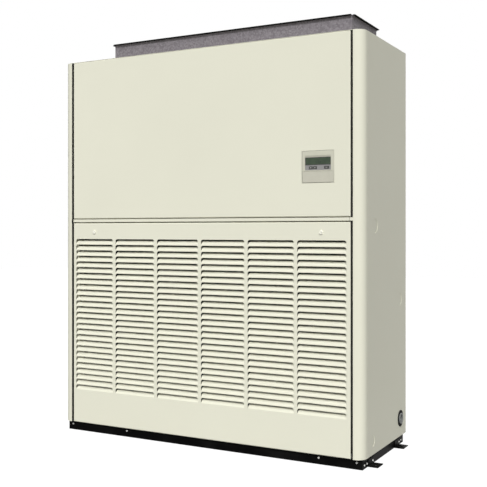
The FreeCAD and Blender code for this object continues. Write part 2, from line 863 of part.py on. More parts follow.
# Heat exchanger: grooved fin pack leaning back between two end plates that stand in the pan
lean = math.radians(coil_lean)
coil_y = front + coil_low_set
coil_z = pan_floor + coil_clear + coil_slab * math.sin(lean)
coil_length = (bottom + deck_height - coil_top_gap - coil_z) / math.cos(lean)
coil_x = inside((-side, side), coil_side_set)
pitch = (coil_x[1] - coil_x[0]) / coil_fin_count
comb = [(coil_x[1], coil_y + coil_slab), (coil_x[0], coil_y + coil_slab)]
for i in range(coil_fin_count):
    x = coil_x[0] + i * pitch
    comb += [(x, coil_y), (x + pitch / 2, coil_y)]
    comb += [(x + pitch / 2, coil_y + coil_fin_groove), (x + pitch, coil_y + coil_fin_groove)]
fins = polygon(comb, "z", (coil_z, coil_z + coil_length))
fins.rotate(V(0, coil_y, coil_z), V(1, 0, 0), -coil_lean)
pieces["coil_fins"] = fins
plate_x = (coil_x[1], coil_x[1] + coil_plate)
plate_y = (coil_y - coil_plate_lap, coil_y + coil_slab + coil_plate_lap)
plate = block(plate_x, plate_y, (coil_z, coil_z + coil_length + coil_plate_lap))
plate.rotate(V(0, coil_y, coil_z), V(1, 0, 0), -coil_lean)
plate_foot = block(plate_x, (coil_y, coil_y + coil_foot), (pan_floor, coil_z + coil_foot))
plate = plate.fuse(plate_foot).removeSplitter()
pieces["coil_end_plates"] = Part.makeCompound([plate, mirrored(plate)])

# Header beside the left end plate, with the gas and liquid pipes towards the left side
header_x = coil_x[0] - coil_plate - header_off


def on_coil(level):
    """Point on the middle of the leaning coil at a height above the cabinet's floor."""
    rise = bottom + level - coil_z
    return coil_y + coil_slab / 2 / math.cos(lean) + rise * math.tan(lean), bottom + level


header_low = on_coil(liquid_pipe_level - header_radius * 2)
header_high = on_coil(gas_pipe_level + header_radius * 2)
start = V(header_x, *header_low)
finish = V(header_x, *header_high)
header = Part.makeCylinder(header_radius, (finish - start).Length, start, finish - start)
stubs = [
    bar("x", on_coil(level), header_stub_radius, (header_x, coil_x[0] - coil_plate))
    for level in (liquid_pipe_level, gas_pipe_level)
]
header = header.fuse(stubs).removeSplitter()
pieces["coil_header"] = header
for name, radius, level, end, way in (
    ("gas_pipe", gas_pipe_radius, gas_pipe_level, back - gas_pipe_back_gap, 1),
    ("liquid_pipe", liquid_pipe_radius, liquid_pipe_level, front + liquid_pipe_front_gap, -1),
):
    y, z = on_coil(level)
    lane = header_x - pipe_lane
    pipe = tube([V(header_x, y, z), V(lane, y, z), V(lane, end, z)], radius, pipe_bend)
    ends = sorted((end, end - way * nut_length))
    nut = bar("y", (lane, z), radius + nut_wall, ends)
    pieces[name] = pipe.fuse(nut).cut(header)

# Fan deck between the two chambers, open under each fan casing
deck_x = inside((-side, side), panel_return)
deck = block(deck_x, (landing + sheet, back - sheet * 2), (bottom + deck_height, deck_top))
hole_y = (front + deck_hole_front_set, back - deck_hole_back_set)
deck_hole = block(inside((scroll_inner, scroll_outer), deck_hole_inset), hole_y, (bottom, top))
pieces["fan_deck"] = deck.cut([deck_hole, mirrored(deck_hole)])


def scroll_edges(wall, high, level):
    """Outline of the fan casing, drawn in by its wall: three arcs that grow, and a straight outlet."""
    a, b, c = (scroll_radius + scroll_step * i - wall for i in range(3))
    b_y = fan_y + scroll_step
    c_z = fan_z + scroll_step
    half = math.sqrt(0.5)
    spine = [
        (fan_y + wall, high), (fan_y + wall, fan_z + a), (fan_y, fan_z + a), (fan_y - a, fan_z),
        (b_y, fan_z - b), (b_y + c, c_z), (b_y + c, high),
    ]
    spots = [point("x", *p, level) for p in spine]
    middles = [
        point("x", fan_y - a * half, fan_z + a * half, level),
        point("x", b_y - b * half, fan_z - b * half, level),
        point("x", b_y + c * half, c_z - c * half, level),
    ]
    edges = [Part.Arc(spots[i + 2], middles[i], spots[i + 3]).toShape() for i in range(3)]
    for i, j in ((0, 1), (1, 2), (5, 6), (6, 0)):
        if (spots[i] - spots[j]).Length > 0:
            edges.append(Part.LineSegment(spots[i], spots[j]).toShape())
    return edges


def fan_wheel():
    """Double inlet wheel about X = 0: a hub with its disc, two rims and a ring of forward curved blades."""
    bore = shaft_radius + bearing_gap
    hub_x = about(0, hub_length)
    disc_x = about(0, wheel_ring)
    span = about(0, wheel_width)
    wheel = turned(
        [
            (hub_x[0], bore), (hub_x[0], hub_radius), (disc_x[0], hub_radius), (disc_x[0], wheel_radius),
            (disc_x[1], wheel_radius), (disc_x[1], hub_radius), (hub_x[1], hub_radius), (hub_x[1], bore),
        ],
        "x", (fan_y, fan_z),
    )
    inner = wheel_radius - blade_depth
    rims = [
        turned([(a, inner), (a, wheel_radius), (b, wheel_radius), (b, inner)], "x", (fan_y, fan_z))
        for a, b in ((span[0], span[0] + wheel_ring), (span[1] - wheel_ring, span[1]))
    ]
    sweep = math.radians(blade_sweep)
    tip = wheel_radius - blade_gauge
    curve = [
        (fan_y + inner + blade_gauge, fan_z),
        (fan_y + (inner + wheel_radius) / 2, fan_z),
        (fan_y + tip * math.cos(sweep), fan_z + tip * math.sin(sweep)),
    ]
    blade = bent_sheet(curve, blade_gauge, "x", inside(span, wheel_ring / 2), {1: blade_bend})
    blades = [
        blade.rotated(V(0, fan_y, fan_z), V(1, 0, 0), 360 * i / blade_count) for i in range(blade_count)
    ]
    return wheel.fuse(rims + blades)


def fan_casing(x):
    """Scroll with an inlet in each side and its outlet under the top panel."""
    casing = extruded(scroll_edges(0, top - sheet, outlet_x(x, 0)[0]), "x", outlet_x(x, 0))
    room = extruded(scroll_edges(sheet, top + overrun, outlet_x(x, sheet)[0]), "x", outlet_x(x, sheet))
    return casing.cut([room, bar("x", (fan_y, fan_z), inlet_radius, outlet_x(x, -overrun))])


pieces["fan_scrolls"] = Part.makeCompound([fan_casing(x) for x in fan_centres])
wheel = fan_wheel()
pieces["fan_wheels"] = Part.makeCompound([wheel.translated(V(x, 0, 0)) for x in fan_centres])

# Shaft, bearings and their stands on the deck
fan_axis = (fan_y, fan_z)
pieces["fan_shaft"] = bar("x", fan_axis, shaft_radius, inside((-bearing_set, bearing_set), -shaft_end_length))
stand_top = fan_z - bearing_radius
bearings = []
stands = []
for way in (-1, 1):
    x = about(way * bearing_set, bearing_length)
    bearing_foot = block(x, about(fan_y, bearing_radius * 3), (stand_top, fan_z - bearing_radius / 2))
    bearing = bar("x", fan_axis, bearing_radius, x).fuse(bearing_foot).removeSplitter()
    bearings.append(bearing.cut(bar("x", fan_axis, shaft_radius + bearing_gap, x)))
    web = about(fan_y, stand_width)
    stand_path = [(web[1], deck_top), (web[1], stand_top), (web[0], stand_top), (web[0], deck_top)]
    stands.append(bent_sheet(stand_path, stand_gauge, "x", about(way * bearing_set, stand_depth)))
pieces["fan_bearings"] = Part.makeCompound(bearings)
pieces["bearing_stands"] = Part.makeCompound(stands)


def pulley(axis, pitch_radius, bore):
    x0, x1 = about(pulley_set, pulley_width)
    a, b = about(pulley_set, belt_width + belt_gap * 2)
    rim = pitch_radius + belt_height / 2
    root = pitch_radius - belt_height / 2 - belt_gap
    profile = [(x0, bore), (x0, rim), (a, rim), (a, root), (b, root), (b, rim), (x1, rim), (x1, bore)]
    return turned(profile, "x", axis)


def belt_loop(grow):
    """Closed outline round both pulleys at a distance from the pitch line."""
    big, small = fan_pulley_pitch + grow, motor_pulley_pitch + grow
    along = math.atan2(motor_z - fan_z, motor_y - fan_y)
    spread = math.acos((big - small) / math.hypot(motor_z - fan_z, motor_y - fan_y))
    level = about(pulley_set, belt_width)[0]

    def spot(y, z, radius, angle):
        return point("x", y + radius * math.cos(angle), z + radius * math.sin(angle), level)

    ends = [spot(fan_y, fan_z, big, along + s * spread) for s in (1, -1)]
    tips = [spot(motor_y, motor_z, small, along + s * spread) for s in (1, -1)]
    return [
        Part.Arc(ends[0], spot(fan_y, fan_z, big, along + math.pi), ends[1]).toShape(),
        Part.LineSegment(ends[1], tips[1]).toShape(),
        Part.Arc(tips[1], spot(motor_y, motor_z, small, along), tips[0]).toShape(),
        Part.LineSegment(tips[0], ends[0]).toShape(),
    ]


motor_axis = (motor_y, motor_z)
pieces["fan_pulley"] = pulley(fan_axis, fan_pulley_pitch, shaft_radius + bearing_gap)
pieces["motor_pulley"] = pulley(motor_axis, motor_pulley_pitch, motor_shaft_radius + bearing_gap)
belt_x = about(pulley_set, belt_width)
belt = extruded(belt_loop(belt_height / 2), "x", belt_x)
pieces["drive_belt"] = belt.cut(extruded(belt_loop(-belt_height / 2), "x", belt_x))

# Motor with cooling fins and feet, on two rails across the deck
motor_end = belt_x[0] - motor_clear
motor_x = (motor_end - motor_length, motor_end)
motor_bore = motor_shaft_radius + bearing_gap
motor = turned(
    [
        (motor_x[0], 0), (motor_x[0], motor_radius - motor_end_taper),
        (motor_x[0] + motor_end_taper, motor_radius), (motor_x[1] - motor_end_taper, motor_radius),
        (motor_x[1], motor_radius - motor_end_taper), (motor_x[1], motor_bore),
        (motor_x[1] - motor_shaft_bite, motor_bore), (motor_x[1] - motor_shaft_bite, 0),
    ],
    "x", motor_axis,
)
ribs = []
for i in range(motor_fins):
    rib = block(
        inside(motor_x, motor_end_taper), about(motor_y, motor_fin_gauge),
        (motor_z + motor_radius - motor_fin_height, motor_z + motor_radius + motor_fin_height),
    )
    rib.rotate(V(0, motor_y, motor_z), V(1, 0, 0), 360 * (i + 0.5) / motor_fins)
    ribs.append(rib)
rail_top = deck_top + motor_rail_height
motor_foot = block(
    about((motor_x[0] + motor_x[1]) / 2, motor_rail_spread + motor_rail_width),
    about(motor_y, motor_foot_width), (rail_top, rail_top + motor_foot_gauge),
)
motor_neck = block(
    about((motor_x[0] + motor_x[1]) / 2, motor_rail_spread), about(motor_y, motor_radius), (rail_top, motor_z)
).cut(bar("x", motor_axis, motor_radius - motor_end_taper, motor_x))
pieces["motor_body"] = motor.fuse(ribs + [motor_foot, motor_neck]).removeSplitter()
motor_shaft_x = (motor_x[1] - motor_shaft_bite + overrun, pulley_set + pulley_width / 2)
pieces["motor_shaft"] = bar("x", motor_axis, motor_shaft_radius, motor_shaft_x)
rails = []
for way in (-1, 1):
    x = about((motor_x[0] + motor_x[1]) / 2 + way * motor_rail_spread / 2, motor_rail_width)
    path = [(x[0], deck_top), (x[0], rail_top), (x[1], rail_top), (x[1], deck_top)]
    rails.append(bent_sheet(path[::-1], stand_gauge, "y", about(motor_y, motor_foot_width)))
pieces["motor_rails"] = Part.makeCompound(rails)

# Electrical box on the deck with its cover, board and terminal block
box_x = (-side + box_side_set, -scroll_outer - box_scroll_gap)
box_y = (front + box_front_set, fan_y - stand_width / 2 - box_stand_gap)
box_z = (deck_top, deck_top + box_height)
electrical_box = block(box_x, box_y, box_z)
pieces["control_box"] = electrical_box.cut(
    block(inside(box_x, sheet), (box_y[0] - overrun, box_y[1] - sheet), inside(box_z, sheet))
)
pieces["control_box_cover"] = block(box_x, (box_y[0] - sheet, box_y[0]), box_z)
board = block(
    inside(box_x, board_edge), (box_y[1] - sheet - board_off - board_gauge, box_y[1] - sheet - board_off),
    (box_z[0] + board_edge + terminal_height, box_z[1] - board_edge),
)
posts = [
    bar("y", (x, z), board_off / 2, (box_y[1] - sheet - board_off, box_y[1] - sheet))
    for x in inside(box_x, board_edge * 2)
    for z in (box_z[0] + board_edge * 2 + terminal_height, box_z[1] - board_edge * 2)
]
pieces["control_board"] = board.fuse(posts).removeSplitter()
terminal_x = about((box_x[0] + box_x[1]) / 2, terminal_width)
terminal_y = (box_y[1] - sheet - terminal_depth, box_y[1] - sheet)
terminal = block(terminal_x, terminal_y, (box_z[0] + sheet, box_z[0] + sheet + terminal_height))
way_pitch = terminal_width / terminal_ways
for i in range(terminal_ways):
    x = about(terminal_x[0] + (i + 0.5) * way_pitch, terminal_slot)
    terminal = terminal.cut(block(
        x, (terminal_y[0] - overrun, terminal_y[0] + terminal_depth / 2),
        (box_z[0] + sheet + terminal_slot, box_z[1]),
    ))
pieces["terminal_block"] = terminal

os.makedirs("parts", exist_ok=True)
for name, shape in pieces.items():
    shape.exportStep("parts/" + name + ".step")
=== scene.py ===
import json
import math

import bmesh
import bpy
from mathutils import Matrix, Vector


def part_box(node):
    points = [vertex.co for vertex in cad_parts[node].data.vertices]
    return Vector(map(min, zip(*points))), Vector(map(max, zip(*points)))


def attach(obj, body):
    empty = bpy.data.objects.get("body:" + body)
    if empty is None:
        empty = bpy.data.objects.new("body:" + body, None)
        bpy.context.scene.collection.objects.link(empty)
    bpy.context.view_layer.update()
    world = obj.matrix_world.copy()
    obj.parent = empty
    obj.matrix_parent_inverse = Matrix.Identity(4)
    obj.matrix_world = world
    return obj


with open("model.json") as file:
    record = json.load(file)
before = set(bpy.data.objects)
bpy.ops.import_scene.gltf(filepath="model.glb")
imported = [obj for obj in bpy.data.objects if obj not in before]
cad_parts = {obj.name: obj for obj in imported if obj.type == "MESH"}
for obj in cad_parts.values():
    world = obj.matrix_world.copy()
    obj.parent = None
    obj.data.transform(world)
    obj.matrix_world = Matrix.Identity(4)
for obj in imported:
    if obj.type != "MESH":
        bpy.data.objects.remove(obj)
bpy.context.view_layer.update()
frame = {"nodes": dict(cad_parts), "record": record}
nodes = frame["nodes"]
MM = 0.001

# Planes and places read from the frame
panel_low, panel_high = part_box("intake_panel")
base_low, base_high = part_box("base_front_rail")
upper_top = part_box("upper_front_panel")[1].z
front = panel_low.y


# Colours are written as sRGB values from 0 to 255
def linear(red, green, blue):
    """Blender colour from sRGB values."""

    def channel(value):
        value = value / 255
        return value / 12.92 if value <= 0.04045 else ((value + 0.055) / 1.055) ** 2.4

    return (channel(red), channel(green), channel(blue), 1.0)


def shade(colour, factor):
    return tuple(c * factor for c in colour[:3]) + (1.0,)


class Surface:
    """A principled material with short ways to add its texture nodes."""

    def __init__(self, name, roughness, metallic=0.0, specular=0.5):
        self.material = bpy.data.materials.new(name)
        self.material.use_nodes = True
        self.tree = self.material.node_tree
        self.bsdf = self.tree.nodes["Principled BSDF"]
        self.bsdf.inputs["Roughness"].default_value = roughness
        self.bsdf.inputs["Metallic"].default_value = metallic
        self.bsdf.inputs["Specular IOR Level"].default_value = specular
        self.coords = self.add("ShaderNodeTexCoord").outputs["Object"]

    def add(self, kind, **inputs):
        node = self.tree.nodes.new(kind)
        for key, value in inputs.items():
            node.inputs[key.replace("_", " ")].default_value = value
        return node

    def link(self, source, target):
        self.tree.links.new(source, target)

    def noise(self, scale, detail, stretch=(1, 1, 1)):
        """Noise in the frame's metres, stretched along the axes."""
        mapping = self.add("ShaderNodeMapping")
        mapping.inputs["Scale"].default_value = stretch
        self.link(self.coords, mapping.inputs["Vector"])
        texture = self.add("ShaderNodeTexNoise", Scale=scale, Detail=detail)
        self.link(mapping.outputs["Vector"], texture.inputs["Vector"])
        return texture.outputs["Fac"]

    def cells(self, scale):
        """Random colour for each cell of a broken pattern."""
        texture = self.add("ShaderNodeTexVoronoi", Scale=scale)
        self.link(self.coords, texture.inputs["Vector"])
        return texture.outputs["Color"]

    def waves(self, scale, direction):
        """Even bands across one axis."""
        texture = self.add("ShaderNodeTexWave", Scale=scale)
        texture.bands_direction = direction
        self.link(self.coords, texture.inputs["Vector"])
        return texture.outputs["Fac"]

    def ramp(self, source, stops):
        """Colour ramp from (place, colour) pairs."""
        node = self.add("ShaderNodeValToRGB")
        ramp = node.color_ramp
        while len(ramp.elements) < len(stops):
            ramp.elements.new(0.5)
        for element, (place, colour) in zip(ramp.elements, stops):
            element.position = place
            element.color = colour
        self.link(source, node.inputs["Fac"])
        return node.outputs["Color"]

    def colour(self, source, stops):
        """Base colour from a texture through a colour ramp."""
        self.link(self.ramp(source, stops), self.bsdf.inputs["Base Color"])

    def rough(self, source, low, high):
        """Roughness that follows a texture between two values."""
        node = self.add("ShaderNodeMapRange")
        node.inputs["To Min"].default_value = low
        node.inputs["To Max"].default_value = high
        self.link(source, node.inputs["Value"])
        self.link(node.outputs["Result"], self.bsdf.inputs["Roughness"])

    def bump(self, source, distance, strength):
        """Fine relief, its height in metres."""
        node = self.add("ShaderNodeBump", Distance=distance, Strength=strength)
        self.link(source, node.inputs["Height"])
        self.link(node.outputs["Normal"], self.bsdf.inputs["Normal"])


def enamel(name, colour, roughness):
    """Satin baked paint on sheet steel: faint clouding and a fine orange peel."""
    surface = Surface(name, roughness, specular=0.08)
    cloud = surface.noise(scale=2.2, detail=3.0)
    surface.colour(cloud, [(0.3, shade(colour, 0.985)), (0.7, shade(colour, 1.012))])
    wear = surface.noise(scale=9.0, detail=2.0)
    surface.rough(wear, low=roughness - 0.04, high=roughness + 0.05)
    peel = surface.noise(scale=700.0, detail=1.0)
    surface.bump(peel, distance=0.00004, strength=0.35)
    return surface.material


def black_paint(name):
    """Black enamel of the base, lighter grey in random patches."""
    surface = Surface(name, 0.45, specular=0.03)
    grey_patches = surface.noise(scale=4.0, detail=5.0)
    surface.colour(grey_patches, [(0.35, linear(1, 1, 1)), (0.5, linear(4, 4, 4)), (0.7, linear(22, 22, 21))])
    surface.rough(grey_patches, low=0.36, high=0.55)
    peel = surface.noise(scale=500.0, detail=1.0)
    surface.bump(peel, distance=0.00005, strength=0.4)
    return surface.material


def zinc(name, dark, light, scale, roughness, metallic):
    """Zinc coated sheet with its spangle."""
    surface = Surface(name, roughness, metallic)
    spangle = surface.cells(scale)
    grain = surface.noise(scale=scale * 4, detail=3.0)
    mixed = surface.add("ShaderNodeMix")
    mixed.data_type = "RGBA"
    mixed.blend_type = "OVERLAY"
    mixed.inputs["Factor"].default_value = 0.6
    surface.link(spangle, mixed.inputs["A"])
    surface.link(grain, mixed.inputs["B"])
    surface.colour(mixed.outputs["Result"], [(0.15, dark), (0.85, light)])
    surface.rough(grain, low=roughness - 0.08, high=roughness + 0.08)
    surface.bump(grain, distance=0.00006, strength=0.4)
    return surface.material


def plastic(name, colour, roughness):
    """Moulded plastic with a fine spark texture."""
    surface = Surface(name, roughness, specular=0.3)
    flow = surface.noise(scale=30.0, detail=2.0)
    surface.colour(flow, [(0.3, shade(colour, 0.97)), (0.7, shade(colour, 1.02))])
    spark = surface.noise(scale=900.0, detail=1.0)
    surface.rough(spark, low=roughness - 0.05, high=roughness + 0.06)
    surface.bump(spark, distance=0.00003, strength=0.5)
    return surface.material


def rubber(name, colour):
    """Dull rubber or foam."""
    surface = Surface(name, 0.8, specular=0.08)
    bloom = surface.noise(scale=60.0, detail=3.0)
    surface.colour(bloom, [(0.3, shade(colour, 0.8)), (0.7, shade(colour, 1.3))])
    pores = surface.noise(scale=1500.0, detail=2.0)
    surface.bump(pores, distance=0.00008, strength=0.6)
    return surface.material


def turned_metal(name, colour, roughness):
    """Machined metal with fine marks along its turning."""
    surface = Surface(name, roughness, metallic=1.0)
    marks = surface.noise(scale=220.0, detail=2.0, stretch=(6, 1, 1))
    surface.colour(marks, [(0.3, shade(colour, 0.85)), (0.7, shade(colour, 1.1))])
    surface.rough(marks, low=roughness - 0.06, high=roughness + 0.1)
    surface.bump(marks, distance=0.00003, strength=0.4)
    return surface.material


def lcd(name):
    """Dark green grey liquid crystal window behind a clear cover."""
    surface = Surface(name, 0.12, specular=0.2)
    tint = surface.noise(scale=25.0, detail=2.0)
    surface.colour(tint, [(0.3, linear(56, 70, 54)), (0.7, linear(72, 86, 67))])
    surface.bsdf.inputs["Coat Weight"].default_value = 0.1
    surface.bsdf.inputs["Coat Roughness"].default_value = 0.05
    smear = surface.noise(scale=120.0, detail=2.0)
    surface.rough(smear, low=0.1, high=0.2)
    return surface.material


def mesh_net(name):
    """Woven plastic net of the air filters."""
    surface = Surface(name, 0.7, specular=0.08)
    peak = surface.add("ShaderNodeMath")
    peak.operation = "MAXIMUM"
    for socket, direction in enumerate("XZ"):
        threads = surface.waves(scale=180.0, direction=direction)
        surface.link(threads, peak.inputs[socket])
    surface.colour(peak.outputs["Value"], [(0.45, linear(8, 8, 9)), (0.75, linear(34, 35, 37))])
    surface.bump(peak.outputs["Value"], distance=0.0003, strength=0.7)
    return surface.material


def fins(name):
    """Aluminium fin edges of the coil."""
    surface = Surface(name, 0.35, metallic=0.9)
    lines = surface.waves(scale=160.0, direction="X")
    surface.colour(lines, [(0.3, linear(95, 100, 104)), (0.7, linear(205, 210, 214))])
    surface.bump(lines, distance=0.0003, strength=0.6)
    return surface.material


cabinet_white = linear(227, 226, 208)
finishes = {
    "cabinet_paint": enamel("cabinet_enamel", cabinet_white, 0.42),
    "base_paint": black_paint("base_black"),
    "duct_steel": zinc(
        "duct_zinc", linear(101, 96, 101), linear(129, 124, 129), scale=160.0, roughness=0.6, metallic=0.15
    ),
    "zinc_steel": zinc(
        "zinc_sheet", linear(140, 142, 144), linear(184, 186, 188), scale=110.0, roughness=0.42, metallic=0.7
    ),
    "steel_shaft": turned_metal("ground_steel", linear(170, 170, 168), 0.3),
    "cast_iron": enamel("machine_grey", linear(105, 110, 112), 0.5),
    "remote_plastic": plastic("controller_plastic", linear(200, 199, 182), 0.45),
    "key_plastic": plastic("key_plastic", linear(66, 66, 64), 0.5),
    "strip_plastic": plastic("strip_film", linear(140, 139, 138), 0.35),
    "display": lcd("display_glass"),
    "drain_plastic": plastic("drain_grey", linear(112, 114, 112), 0.4),
    "rubber": rubber("black_rubber", linear(34, 34, 34)),
    "filter_mesh": mesh_net("filter_net"),
    "coil_fin": fins("coil_fins"),
    "copper": turned_metal("copper_tube", linear(196, 122, 84), 0.32),
    "board": plastic("circuit_board", linear(38, 92, 58), 0.45),
    "terminal_plastic": plastic("terminal_black", linear(40, 40, 42), 0.5),
}
# Near-black foam as painted shade: it darkens the gaps beside the front panels and the lips of the collar
shade_black_foam = rubber("shade_black_foam", linear(12, 12, 11))
screw_bright = zinc(
    "screw_bright", linear(196, 196, 192), linear(232, 232, 228), scale=400.0, roughness=0.4, metallic=0.2
)
knob_white = plastic("knob_white", linear(240, 239, 226), 0.3)
own_finish = {
    "left_knob": knob_white,
    "right_knob": knob_white,
    "remote_flap": plastic("flap_plastic", linear(194, 192, 177), 0.5),
}
for row in frame["record"]["subparts"]:
    mesh = nodes[row["node"]].data
    mesh.materials.clear()
    mesh.materials.append(own_finish.get(row["node"]) or finishes[row["material_slot"]])


def piece(name, mesh, slot, body, finish=None):
    """A finished mesh as a piece that rides on a body."""
    item = bpy.data.objects.new(name, mesh)
    bpy.context.scene.collection.objects.link(item)
    mesh.materials.append(finish or finishes[slot])
    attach(item, body)
    return item


# Mesh helpers: every section is drawn in a plane and carried along an axis
X, Y, Z = Vector((1, 0, 0)), Vector((0, 1, 0)), Vector((0, 0, 1))
sharp_angle = math.radians(35)


def facing(direction, place):
    """Matrix that lays a local +Z along a direction, at a place."""
    turn = Vector(direction).to_track_quat("Z", "Y").to_matrix().to_4x4()
    return Matrix.Translation(place) @ turn


def prism(bm, section, start, along, across, up):
    """Closed section of (across, up) pairs carried from a start point along a vector."""
    rings = []
    for shift in (Vector((0, 0, 0)), Vector(along)):
        rings.append([bm.verts.new(Vector(start) + shift + across * a + up * b) for a, b in section])
    count = len(section)
    for i in range(count):
        j = (i + 1) % count
        bm.faces.new((rings[0][i], rings[0][j], rings[1][j], rings[1][i]))
    bm.faces.new(rings[0][::-1])
    bm.faces.new(rings[1])


def rounded(width, height, radius, steps=4):
    """Rounded rectangle about the origin as a section."""
    corners = ((1, 1, 0), (-1, 1, 90), (-1, -1, 180), (1, -1, 270))
    outline = []
    for sx, sy, begin in corners:
        for step in range(steps + 1):
            angle = math.radians(begin + 90 * step / steps)
            x = sx * (width / 2 - radius) + radius * math.cos(angle)
            y = sy * (height / 2 - radius) + radius * math.sin(angle)
            outline.append((x, y))
    return outline


def screw(bm, matrix, radius, height):
    """Pan head screw with a cross recess, its seat on the local Z = 0 plane."""
    segments = 32
    ring_shares = (1.0, 0.96, 0.86, 0.72, 0.56, 0.42, 0.28, 0.14)
    reach_share, slot_share, depth_share, drop_share = 0.6, 0.15, 0.55, 0.75
    turns = [2 * math.pi * k / segments for k in range(segments)]
    rings = [[bm.verts.new(matrix @ Vector((radius * math.cos(t), radius * math.sin(t), 0))) for t in turns]]
    for share in ring_shares:
        ring = []
        for t in turns:
            x, y = radius * share * math.cos(t), radius * share * math.sin(t)
            z = height * math.sqrt(1 - drop_share * share ** 4)
            if share < reach_share and min(abs(x), abs(y)) < radius * slot_share:
                z -= height * depth_share
            ring.append(bm.verts.new(matrix @ Vector((x, y, z))))
        rings.append(ring)
    for lower, upper in zip(rings, rings[1:]):
        for k in range(segments):
            n = (k + 1) % segments
            bm.faces.new((lower[k], lower[n], upper[n], upper[k]))
    bm.faces.new(rings[-1])


def finished(bm, name, smooth=True):
    """Mesh from a bmesh, with normals outwards."""
    bmesh.ops.recalc_face_normals(bm, faces=bm.faces)
    mesh = bpy.data.meshes.new(name)
    bm.to_mesh(mesh)
    bm.free()
    if smooth:
        for face in mesh.polygons:
            face.use_smooth = True
        mesh.set_sharp_from_angle(angle=sharp_angle)
    return mesh


# Black foam seals in the gaps between the front panels and the corner posts: partly a real seal, partly
# painted shade, black so the gaps read as dark as shaded gaps; the left seals sit nearer the front, which
# darkens that gap more
left_seal_sink, right_seal_sink = 0.8 * MM, 3 * MM
seal_depth = 18 * MM
seal_clear = 0.4 * MM
pin_clear = 2.4 * MM
pad_proud = 0.8 * MM
seal_round_share, pad_round_share = 0.3, 0.4
nose_low, nose_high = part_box("mid_rail_brackets")
panel_gap = nose_high.x - panel_high.x
pin_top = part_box("hinge_brackets")[1].z
for hand, way, sink in (("left", -1, left_seal_sink), ("right", 1, right_seal_sink)):
    bm = bmesh.new()
    for inset, low, high in (
        (pin_clear, panel_low.z, pin_top),
        (seal_clear, pin_top, nose_low.z - seal_clear),
        (seal_clear, nose_high.z + seal_clear, upper_top),
    ):
        width = panel_gap - inset - seal_clear / 2
        centre = panel_high.x + inset + width / 2
        start = Vector((way * centre, front + sink + seal_depth / 2, low))
        section = rounded(width, seal_depth, width * seal_round_share)
        prism(bm, section, start, Z * (high - low), X, Y)
    # A thin black pad over the end of the rail between the panels, on the left alone: painted shade at the
    # left end of the rail
    if hand == "left":
        pad_width = panel_gap - seal_clear
        pad_start = Vector((way * (panel_high.x + panel_gap / 2), front - pad_proud / 2, nose_low.z))
        section = rounded(pad_width, pad_proud, pad_proud * pad_round_share)
        prism(bm, section, pad_start, Z * (nose_high.z - nose_low.z), X, Y)
    # The black seals paint the shade inside the panel gaps
    piece(hand + "_gap_shade_seal", finished(bm, hand + "_gap_shade_seal"), "rubber", "cabinet", shade_black_foam)

# Black rubber edging on the four lips of the discharge collar: painted shade, standing in for the dark
# shaded undersides and edges of the lips
collar_low, collar_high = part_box("duct_collar")
lip = 12 * MM
lip_gauge = 1.6 * MM
edging_wall = 1.2 * MM
edging_bite = 8 * MM
edging_slack = 0.05 * MM
edging_nose_share, edging_nose_steps = 0.6, 6
inner_low = collar_low + Vector((lip, lip, 0))
inner_high = collar_high - Vector((lip, lip, 0))


def edging_section():
    """U over a lip's edge: across runs outwards from the wall, up from the lip's underside."""
    near, far = lip - edging_bite, lip + edging_slack
    low, high = -edging_slack, lip_gauge + edging_slack
    middle, half = (low + high) / 2, (high - low) / 2 + edging_wall
    nose = []
    for step in range(edging_nose_steps + 1):
        angle = math.pi * (step / edging_nose_steps - 0.5)
        nose.append((far + half * edging_nose_share * math.cos(angle), middle + half * math.sin(angle)))
    inside = [(near, high), (far, high), (far, low), (near, low)]
    return [(near, low - edging_wall)] + nose + [(near, high + edging_wall)] + inside


bm = bmesh.new()
lip_floor = collar_high.z - lip_gauge
width, depth = inner_high.x - inner_low.x, inner_high.y - inner_low.y
for start, along, across in (
    ((inner_low.x, inner_low.y, lip_floor), X * width, -Y),
    ((inner_low.x, inner_high.y, lip_floor), X * width, Y),
    ((inner_low.x, inner_low.y, lip_floor), Y * depth, -X),
    ((inner_high.x, inner_low.y, lip_floor), Y * depth, X),
):
    prism(bm, edging_section(), start, along, across, Z)
# The black edging paints the shade under the collar's lips
piece("collar_shade_edging", finished(bm, "collar_shade_edging"), "rubber", "cabinet", shade_black_foam)

# Screws of the base: along the front rail, on both side rails and on the anchor brackets, in millimetres
base_screw, base_screw_head = 3.9 * MM, 2.4 * MM
anchor_gauge = 3.2 * MM
side_rail_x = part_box("base_side_rails")[1].x
anchor_face_x = side_rail_x + anchor_gauge
front_screw_height, side_screw_height = 25 * MM, 14 * MM
front_screw_places = (-666, -374, 514, 666)
rail_screw_set_backs = (39, 65, 471)
anchor_screw_set_backs = (121, 438)
bm = bmesh.new()
for x in front_screw_places:
    screw(bm, facing(-Y, (x * MM, base_low.y, front_screw_height)), base_screw, base_screw_head)
for set_backs, face_x in ((rail_screw_set_backs, side_rail_x), (anchor_screw_set_backs, anchor_face_x)):
    for set_back in set_backs:
        for way in (-1, 1):
            place = (way * face_x, front + set_back * MM, side_screw_height)
            screw(bm, facing(X * way, place), base_screw, base_screw_head)
piece("base_screws", finished(bm, "base_screws"), "zinc_steel", "cabinet", screw_bright)

# Screws of the back panels, along every edge
back_screw, back_screw_head = 4.5 * MM, 2.4 * MM
back_margin = 10 * MM
back_columns, back_rows = 6, 4
bm = bmesh.new()
for panel in ("lower_back_panel", "upper_back_panel"):
    low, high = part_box(panel)
    for i in range(back_columns):
        x = low.x + back_margin + (high.x - low.x - 2 * back_margin) * i / (back_columns - 1)
        for j in range(back_rows):
            if i in (0, back_columns - 1) or j in (0, back_rows - 1):
                z = low.z + back_margin + (high.z - low.z - 2 * back_margin) * j / (back_rows - 1)
                screw(bm, facing(Y, (x, high.y, z)), back_screw, back_screw_head)
piece("back_screws", finished(bm, "back_screws"), "zinc_steel", "cabinet")

# Wired controller: a dark frame round the window, its figures, the marks on the keys and the flap's lip
skin = 0.05 * MM
window_low, window_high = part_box("display_window")
lcd_ink = plastic("lcd_ink", linear(24, 32, 25), 0.3)


